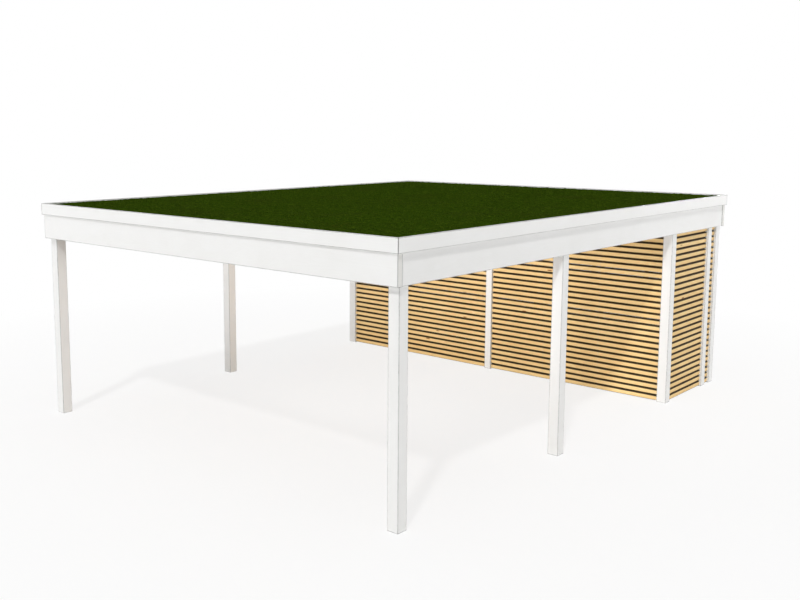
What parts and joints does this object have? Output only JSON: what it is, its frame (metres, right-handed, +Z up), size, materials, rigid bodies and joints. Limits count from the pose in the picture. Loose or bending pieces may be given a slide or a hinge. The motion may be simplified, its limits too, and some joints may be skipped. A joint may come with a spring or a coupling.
{
  "type": "carport",
  "caption": "Flat-roofed timber carport for two cars: white square posts, deep white roof edge, planted roof, and a slatted wooden store room across the back.",
  "frame": {"origin": "on the ground, at the centre of the roof's outline", "axes": "+Z up, +Y from the open entrance to the store room's back wall, +X to the right of someone driving in"},
  "size_m": [5.442, 6.942, 2.543],
  "materials": {
    "white_timber": "opaque white coat on planed spruce",
    "slat_timber": "fine-sawn light larch, clear oiled",
    "raw_timber": "planed spruce, untreated",
    "deck_board": "rough-sawn spruce boards",
    "zinc_steel": "hot-dip zinc on bent sheet steel",
    "membrane": "root-proof roofing membrane, dull black",
    "drainage": "recycled drainage and water-storing mat",
    "substrate": "loose mineral growing layer",
    "planting": "low, dense dark green sedum and moss mat"
  },
  "bodies": {
    "root": {"beam_back": "white_timber", "beam_front": "white_timber", "beam_left": "white_timber", "beam_right": "white_timber", "beam_store": "white_timber", "cap_back": "white_timber", "cap_front": "white_timber", "cap_left": "white_timber", "cap_right": "white_timber", "drainage_mat": "drainage", "hangers_left": "zinc_steel", "hangers_right": "zinc_steel", "joists_front": "raw_timber", "joists_middle": "raw_timber", "joists_store": "raw_timber", "kerb_back": "raw_timber", "kerb_front": "raw_timber", "kerb_left": "raw_timber", "kerb_right": "raw_timber", "planting": "planting", "post_back_left": "white_timber", "post_back_middle": "white_timber", "post_back_right": "white_timber", "post_front_left": "white_timber", "post_front_right": "white_timber", "post_middle_left": "white_timber", "post_middle_right": "white_timber", "post_side_left": "white_timber", "post_side_right": "white_timber", "post_store_left": "white_timber", "post_store_middle": "white_timber", "post_store_right": "white_timber", "roof_deck": "deck_board", "roof_membrane": "membrane", "substrate": "substrate", "wall_back_left": "slat_timber", "wall_back_right": "slat_timber", "wall_front_left": "slat_timber", "wall_front_right": "slat_timber", "wall_left_long": "slat_timber", "wall_left_short": "slat_timber", "wall_right_long": "slat_timber", "wall_right_short": "slat_timber"}
  },
  "joints": []
}
